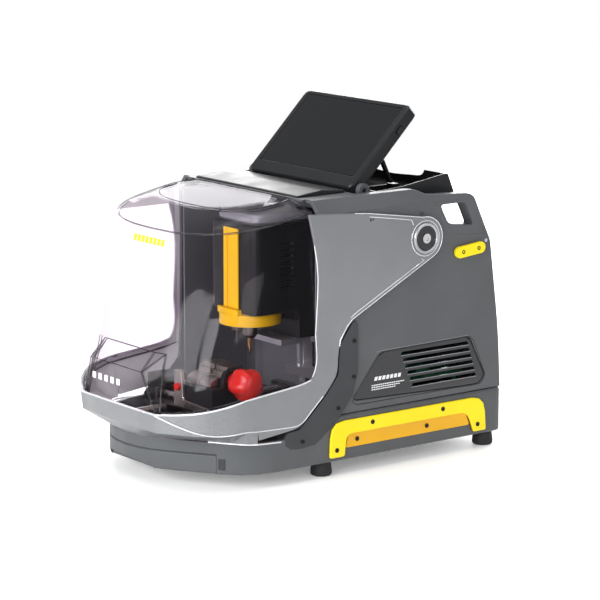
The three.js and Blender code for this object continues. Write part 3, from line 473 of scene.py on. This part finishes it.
DRESS = {
    "base_pan": (PAN_GREY, "body_plastic", 0.6),
    "chip_drawer": (PAN_GREY, "body_plastic", 0.5),
    "foot_front_left": (RUBBER, "rubber", 0.5),
    "foot_front_right": (RUBBER, "rubber", 0.5),
    "foot_rear_left": (RUBBER, "rubber", 0.5),
    "foot_rear_right": (RUBBER, "rubber", 0.5),
    "body_side_left": (BODY_GREY, "body_plastic", 0.7),
    "body_side_right": (BODY_GREY, "body_plastic", 0.7),
    "rear_cover": (BODY_GREY, "body_plastic", 0),
    "power_inlet": (BLACK_PLASTIC, "black_plastic", 0.3),
    "power_switch": (GLOSS_BLACK, "black_plastic", 0.3),
    "fan_rotor": (BLACK_PLASTIC, "black_plastic", 0.2),
    "power_supply": (ALLOY, "alloy", 0.3),
    "control_board": (BOARD_GREEN, "board", 0.2),
    "top_deck": (BODY_GREY, "body_plastic", 0.5),
    "console_panel": (BLACK_PLASTIC, "black_plastic", 0.5),
    "accessory_tray": (BLACK_PLASTIC, "black_plastic", 0.5),
    "tablet_case": (TABLET_BLACK, "black_plastic", 0.6),
    "tablet_screen": (SCREEN_BLACK, "screen", 0.3),
    "tablet_button": (GLOSS_BLACK, "black_plastic", 0.3),
    "tablet_strut": (BLACK_PLASTIC, "black_plastic", 0.3),
    "chamber_liner": (LINER_GREY, "body_plastic", 0.5),
    "vent_grille_left": (GLOSS_BLACK, "gloss_black", 0.4),
    "vent_grille_right": (GLOSS_BLACK, "gloss_black", 0.4),
    "lift_handle_left": (HANDLE_YELLOW, "yellow_paint", 0.5),
    "lift_handle_right": (HANDLE_YELLOW, "yellow_paint", 0.5),
    "trim_strip_left": (HANDLE_YELLOW, "yellow_paint", 0.5),
    "trim_strip_right": (HANDLE_YELLOW, "yellow_paint", 0.5),
    "hood_frame": (HOOD_SILVER, "hood_paint", 0.7),
    "z_column": (ALLOY, "alloy", 0.4),
    "z_drive": (BLACK_PLASTIC, "motor_black", 0.4),
    "head_casting": (ALLOY, "alloy", 0.4),
    "head_cover": (BLACK_PLASTIC, "black_plastic", 0.5),
    "head_cap": (CAP_GREY, "alloy", 0.6),
    "head_stripe": (HEAD_YELLOW, "amber_plastic", 0.3),
    "light_ring": (HEAD_YELLOW, "amber_plastic", 0.4),
    "spindle": (DARK_STEEL, "machined_steel", 0.2),
    "cutter": (BRONZE, "machined_steel", 0),
    "probe_holder": (DARK_STEEL, "machined_steel", 0.2),
    "probe": (DARK_STEEL, "machined_steel", 0),
    "spindle_motor": (BLACK_PLASTIC, "motor_black", 0.3),
    "motor_pulley": (ALLOY, "alloy", 0.2),
    "drive_belt": (RUBBER, "rubber", 0.2),
    "bed_plate": (DARK_STEEL, "alloy", 0.4),
    "y_rail_left": (SCREW_STEEL, "machined_steel", 0.2),
    "y_rail_right": (SCREW_STEEL, "machined_steel", 0.2),
    "y_drive": (BLACK_PLASTIC, "motor_black", 0.3),
    "y_carriage": (DARK_STEEL, "alloy", 0.3),
    "x_rail_front": (SCREW_STEEL, "machined_steel", 0.2),
    "x_rail_rear": (SCREW_STEEL, "machined_steel", 0.2),
    "x_drive": (BLACK_PLASTIC, "motor_black", 0.3),
    "clamp_slide": (BLACK_PLASTIC, "black_plastic", 0.4),
    "clamp_plate": (STEEL, "machined_steel", 0.3),
    "clamp_button": (KNOB_RED, "red_plastic", 0.3),
    "fixed_jaw": (STEEL, "machined_steel", 0.3),
    "moving_jaw": (STEEL, "machined_steel", 0.3),
    "visor": (VISOR_CLEAR, "clear_plastic", 0),
}
done = {}
for node, (material, slot, width) in DRESS.items():
    done[node] = dressed(node, material, width, angle=55 if node == "visor" else 32)


def second_finish(made, material, chosen):
    """The faces chosen by their centre, in mm, and their normal take a second finish."""
    made.data.materials.append(material)
    for face in made.data.polygons:
        if chosen(*(face.center / MM), face.normal):
            face.material_index = len(made.data.materials) - 1


HANDLE_PLATE_X = 151.2
# The lift handles' recessed faces take the darker yellow: painted shade in the recess.
for side in ("left", "right"):
    second_finish(done["lift_handle_" + side], YELLOW_RECESS_PAINTED_SHADE,
                  lambda x, y, z, n: abs(x) < HANDLE_PLATE_X and 30 < z < 60 and -14 < y < 185)
# The hood arms' inward faces take the lighter silver: painted light.
second_finish(done["hood_frame"], INNER_HOOD_PAINTED_LIGHT,
              lambda x, y, z, n: abs(x) < 148.6 and n.x * x + n.y * (y + 60) < -1)

# ---- hood: painted shade on visor creases, painted highlights on bright rims, gasket band in painted shade ----


def creases(node, angle, keep):
    """The edges of a CAD node that are sharper than angle: vertices and edges for a bead."""
    work = bmesh.new()
    work.from_mesh(frame["nodes"][node].data)
    bmesh.ops.remove_doubles(work, verts=work.verts, dist=2e-5)
    used, edges = {}, []
    for edge in work.edges:
        ends = [v.co / MM for v in edge.verts]
        middle, along = (ends[0] + ends[1]) / 2, (ends[1] - ends[0]).normalized()
        sharp = len(edge.link_faces) == 2 and edge.calc_face_angle(0) > math.radians(angle)
        if sharp and keep(middle, along):
            edges.append(tuple(used.setdefault(v.index, (len(used), v.co.copy()))[0]
                               for v in edge.verts))
    points = [co for _, co in sorted(used.values(), key=lambda item: item[0])]
    work.free()
    return points, edges


def visor_line(middle, along):
    nose = abs(middle.x) < 82 and middle.z < 160
    return abs(along.z) < 0.3 or nose


# Dark clear beads along the visor's creases: painted shade.
points, edges = creases("visor", 8, visor_line)
grown("visor_painted_crease_shade_beads", BEADS, points, edges, {}, {
    "Bead radius": 0.5 * MM, "Sides": 5, "Closed ends": True, "Material": CREASE_PAINTED_SHADE},
    "hood")

ARM_X = 150.0
PIVOT = (110, 274)
boss = arc(PIVOT, 26.2, 98, -62, 14)
arm_outer = [(ARM_X, y, z) for y, z in
             [(2, 314.6), (24, 312.4)] + boss + [(-1.6, 188), (-9, 181), (-19, 166), (-20.5, 158)]]
arm_inner_top = [(ARM_X, y, z) for y, z in [(24, 308.6), (60, 303), (88, 298.6), (91, 292)]]
arm_inner_low = [(ARM_X, y, z) for y, z in
                 [(104, 249.5), (108, 247.5), (60, 223.4), (4, 195.4), (-4, 190)]]
pivot_ring = [(ARM_X, y, z) for y, z in arc(PIVOT, 21.4, 0, 360, 40)][:-1]
pivot_ring.append(pivot_ring[0])
# Light silver beads along the arms' edges and round the pivots: painted highlights
beads("hood_painted_highlight_lines", both_sides(arm_outer) + both_sides(arm_inner_top)
      + both_sides(arm_inner_low) + both_sides(pivot_ring), 0.6, PAINTED_HIGHLIGHT_EDGE, "hood")

# Light silver beads along the window rim and the lower ridge: painted highlights
RIM = [(-62, 122.2), (-79, 118.2), (-120, 113.9), (-150, 110.8)]
rim_low = [(ARM_X - 1.2, y, z) for y, z in RIM]
rim_front = [(145, -178.5, 105.2), (136, -196.5, 101), (122, -211, 97.2), (104, -222.5, 94.4),
             (88, -231.4, 92.8), (80, -236.6, 92.4), (40, -237.8, 92.2), (0, -238, 92.2)]
beads("window_rim_painted_highlight", both_sides(smooth_line(rim_low + rim_front, 4)), 1.2, PAINTED_HIGHLIGHT_EDGE,
      "hood", 10)
ridge = smooth_line([
    (79.5, -237, 91), (90, -229.6, 86), (104, -221, 80.4), (122, -209, 74.6), (136, -194.3, 71.4),
    (146, -177, 71.6), (149.6, -156, 73), (149.7, -137, 71.6), (149.7, -105, 70.4), (149.7, -79, 71.2),
    (149.7, -62, 85), (149.7, -45, 101)], 4)
beads("lower_ridge_painted_highlight", both_sides(ridge), 0.8, PAINTED_HIGHLIGHT_EDGE, "hood")

BAND = [(0.6, 185.5), (-18.8, 159.4), (-21.4, 123.2), (-41, 99.5), (-78.4, 65.2), (-96, 63.2),
        (-101, 57), (-99, 48), (-92, 43), (-78.6, 41.5), (-56.1, 43.6), (-46.6, 49.6),
        (-21.8, 68.9), (0.5, 96), (8.2, 122), (8.2, 180), (5, 185.5)]
# The band plate stands nearly flush; its near-black is painted shade of the recess.
for side, name in ((1, "right"), (-1, "left")):
    plate("gasket_band_painted_shade_" + name, BAND, side * 145.8, side * 3.9, BAND_SHADE_AND_PRINT_GREY, "base",
          0.7)
band_screws = [(side * 149.7, y, z, (side, 0, 0)) for side in (1, -1)
               for y, z in ((2.0, 161.6), (1.6, 118.3), (-21.8, 83.0), (-74.9, 50.0))]
screws("gasket_band_screws", band_screws, 2.6, 0.9, SCREW_BLACK, "base")
# A light silver bead along the base's ledge: painted highlight
lip = smooth_line([(104, -178.5, 56.2), (120, -167.6, 56.2), (135, -156.8, 56.2), (144.5, -146.5, 56),
                   (148.4, -134, 55.6), (148.9, -120, 55), (148.9, -106, 54.2)], 4)
beads("base_lip_painted_highlight", both_sides(lip), 1.1, PAINTED_HIGHLIGHT_EDGE, "base")

# ---- pivots ----
for side, name in ((1, "right"), (-1, "left")):
    at = (side * 150.1, *PIVOT)
    ring = turned("pivot_ring_" + name,
                  [(15.3, 0.2), (15.3, 1.8), (15.9, 2.5), (18.0, 2.6), (18.7, 1.8), (18.9, 0.2)],
                  at, (side, 0, 0), 56, RING_GREY, "base")
    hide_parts("pivot_cap_" + name)
    turned("pivot_disc_" + name,
           [(0, 1.6), (5, 1.6), (5.4, 1.2), (13.8, 1.2), (14.4, 1.9), (15.2, 1.4), (15.2, 0.3)],
           at, (side, 0, 0), 56, GLOSS_BLACK, "base")
screws("pivot_screws", [(s * 151.4, *PIVOT, (s, 0, 0)) for s in (1, -1)], 6.0, 1.4, SCREW_STEEL,
       "base", 0.5)

# ---- handles, strips and vents ----
HANDLE_SCREWS = [(152.8, -26.3, 32.7), (152.8, 27.7, 59.9), (152.8, 137.5, 59.9), (152.8, 193.7, 32.6),
                 (150.3, 6.0, 42.0), (150.3, 113.9, 42.0)]
screws("handle_screws", [(s * x, y, z, (s, 0, 0)) for s in (1, -1) for x, y, z in HANDLE_SCREWS],
       2.9, 0.8, SCREW_BLACK, "base")
screws("trim_screws", [(s * 150.8, y, z, (s, 0, 0)) for s in (1, -1)
                       for y, z in ((169.6, 251.0), (194.0, 253.4))],
       2.4, 0.6, SCREW_BLACK, "base")
SLOTS, SLOT_LOW, SLOT_PITCH, SLOT_TOP = 6, 92, 8.2, 133
VENT_X = 145.1
# Lighter grey beads under each vent slot: painted highlights on the slots' lower lips.
louvres = []
for i in range(SLOTS):
    z = SLOT_LOW + i * SLOT_PITCH
    start, end = 77 + (SLOT_TOP - z) * 0.42, 184 + (SLOT_TOP - z) * 0.32
    louvres += both_sides([(VENT_X, start, z - 0.2), (VENT_X, end, z - 0.2)])
beads("louvre_painted_highlight_lips", louvres, 0.45, CAP_GREY, "base", 6)
# A gloss black bead round the vent panel: painted shade of its recessed groove.
border = [(145.7, y, z) for y, z in
          [(9.5, 82.2), (2.6, 86), (3.4, 92), (40, 137.6), (46.5, 142), (184, 143.6), (191, 138),
           (211, 93), (209, 88), (203, 81.5), (9.5, 82.2)]]
beads("vent_groove_painted_shade", both_sides(border), 0.7, GLOSS_BLACK, "base", 6)
crease = smooth_line([(144.9, y, z) for y, z in
                      ((123, 315.5), (130, 311), (138, 299), (149, 280), (158, 273.4), (172, 270.8),
                       (211, 268.6))], 5)
beads("hand_hole_crease", both_sides(crease), 1.5, BODY_GREY, "base", 10)
screws("side_screws", [(s * 146, 209, 261.0, (s, 0, 0)) for s in (1, -1)], 2.2, 0.7, SCREW_STEEL,
       "base")


# A lighter grey bead along the vent panel's top bevel: painted highlight.
vent_top = smooth_line([(145.4, y, z) for y, z in
                        ((40, 141.6), (47, 143.2), (120, 144.2), (184, 145.2))], 3)
beads("vent_top_painted_highlight", both_sides(vent_top), 0.7, CAP_GREY, "base", 6)

# ---- printed and moulded marks ----
FACE = Vector((0, 32.6, 137.0)).normalized()
decal("visor_mark", (-31, -190.6, 278.5), (1, 0, 0), FACE,
      [block(8.2 * i, 0, 6.2, 8, 0.8) for i in range(8)], MARK_YELLOW, "hood")
decal("visor_mark_line", (-34, -193, 268.5), (1, 0, 0), FACE,
      [block(6 * i, 0, 4.4, 1.6, 0.2) for i in range(12)], MARK_WHITE, "hood")
NOSE = Vector((0, -4.4, 45.5)).normalized()
decal("nose_mark", (-52, -237.2, 114), (1, 0, 0), NOSE,
      [block(13 * i, 0, 7, 8, 1.6) for i in range(5)], MARK_WHITE, "hood")
decal("console_mark", (-28, -47.6, 331), (1, 0, 0), (0, 0.9, 1),
      [block(7 * i, 0, 5.2, 4.4, 0.8) for i in range(8)], MARK_YELLOW, "base")
for side, name in ((1, "right"), (-1, "left")):
    along = (0, side, 0)
    start = 36 if side > 0 else -76
    logo = [block(u, 0, 4.2, 4.6, 1.2) for u in (0, 6, 12, 18, 24, 30, 36)]
    decal("vent_mark_" + name, (side * VENT_X, side * start, 107.5), along, (0, 0, 1), logo,
          MARK_WHITE, "base")
    fine = [block(3.4 * i, -2.6 * row, 2.6, 1.2) for row in range(3) for i in range(15 - row * 2)]
    decal("vent_text_" + name, (side * VENT_X, side * (start - 4), 101.4), along, (0, 0, 1), fine,
          MARK_WHITE, "base")
    decal("drawer_latch_" + name, (side * 118, -169.4, 24), (0.826, side * 0.563, 0), (0, 0, 1),
          [block(-4, 0, 8, 13)], GLOSS_BLACK, "drawer", 0.8)
    icons = [loop(-1.6, 0, 2.2, 1.2), loop(1.8, 0.3, 1.6, 1.0)]
    decal("arm_mark_" + name, (side * 150, 27.4, 304.4), along, (0, 0, 1), icons, BAND_SHADE_AND_PRINT_GREY,
          "hood")
    decal("side_mark_" + name, (side * 146, 107, 304), along, (0, 0, 1), icons, BAND_SHADE_AND_PRINT_GREY,
          "base")

# ---- clamp knob ----
def five_lobes(turn, height):
    share = min(1.0, max(0.0, (height - 15) / 6)) * min(1.0, max(0.35, (51 - height) / 8))
    return 1 - 0.17 * share * (0.5 - 0.5 * math.cos(5 * turn))


knob = turned("clamp_star_knob",
              [(0, 0), (5, 0), (5, 6), (9.6, 6.4), (10.4, 7.2), (10.4, 14), (12.6, 15.2), (16.4, 18.4),
               (19.6, 23), (21.2, 29), (21.3, 33), (20.2, 39), (17.4, 45), (13, 49.4), (7, 51.2),
               (0, 51.4)],
              (24.6, -90, 104), (1, 0, 0), 80, KNOB_RED, "knob", 50, five_lobes)
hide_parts("clamp_knob")

# ---- stage, light and camera ----


def stage_light(name, location, target, size, power, colour=(1, 1, 1)):
    lamp = bpy.data.lights.new(name, "AREA")
    lamp.shape = "RECTANGLE"
    lamp.size, lamp.size_y = size
    lamp.energy = power
    lamp.color = colour
    holder = bpy.data.objects.new(name, lamp)
    bpy.context.scene.collection.objects.link(holder)
    holder.location = location
    holder.visible_camera = False
    holder.rotation_mode = "QUATERNION"
    holder.rotation_quaternion = (Vector(location) - Vector(target)).to_track_quat("Z", "Y")


def build_stage():
    reach = 1.7
    corners = [(x * reach, y * reach, 0) for x, y in ((-1, -1), (1, -1), (1, 1), (-1, 1))]
    mesh = mesh_of("floor", corners, [(0, 1, 2, 3)], outward=False)
    floor = bpy.data.objects.new("floor", mesh)
    bpy.context.scene.collection.objects.link(floor)
    material, tree, shader, place = finish_start("pale_floor")
    clouds = speckle(tree, place, 3, 3)
    tree.links.new(two_tone(tree, clouds, (0.9, 0.9, 0.9, 1), (0.92, 0.92, 0.92, 1)),
                   shader.inputs["Base Color"])
    shader.inputs["Roughness"].default_value = 0.5
    shader.inputs["Emission Color"].default_value = (1, 1, 1, 1)
    shader.inputs["Emission Strength"].default_value = 0.2
    mesh.materials.append(material)
    world = bpy.data.worlds.new("studio")
    world.use_nodes = True
    sky = world.node_tree
    seen = put(sky, "ShaderNodeLightPath").outputs["Is Camera Ray"]
    strength = put(sky, "ShaderNodeMapRange", {"Value": seen, "To Min": 0.45, "To Max": 1.0})
    sky.nodes["Background"].inputs["Color"].default_value = (1, 1, 1, 1)
    sky.links.new(strength.outputs["Result"], sky.nodes["Background"].inputs["Strength"])
    bpy.context.scene.world = world
    target = (0, 0.03, 0.2)
    stage_light("top_softbox", (0.0, 0.2, 2.6), target, (2.6, 2.6), 36)
    stage_light("front_softbox", (0.1, -2.7, 1.2), target, (1.4, 1.4), 62)
    stage_light("cell_softbox", (1.3, -2.5, 0.9), (0, -0.1, 0.2), (0.9, 0.9), 34)
    stage_light("side_softbox", (2.4, -0.4, 1.1), target, (1.2, 1.4), 16)
    stage_light("rear_softbox", (-1.6, 2.0, 1.0), target, (2.8, 1.6), 80)


build_stage()
AZIMUTH, ELEVATION, DISTANCE = math.radians(53.02), math.radians(11.07), 3.24214
TARGET = Vector((0, 0.03391, 0.18388))
back = Vector((math.sin(AZIMUTH) * math.cos(ELEVATION), -math.cos(AZIMUTH) * math.cos(ELEVATION),
               math.sin(ELEVATION)))
camera = bpy.data.objects.new("camera", bpy.data.cameras.new("camera"))
bpy.context.scene.collection.objects.link(camera)
camera.data.sensor_width = 36
camera.data.lens = 157.33
camera.data.clip_start, camera.data.clip_end = 0.1, 100
camera.location = TARGET + back * DISTANCE
camera.rotation_mode = "QUATERNION"
camera.rotation_quaternion = back.to_track_quat("Z", "Y")
bpy.context.scene.camera = camera
bpy.context.scene.view_settings.view_transform = "Standard"
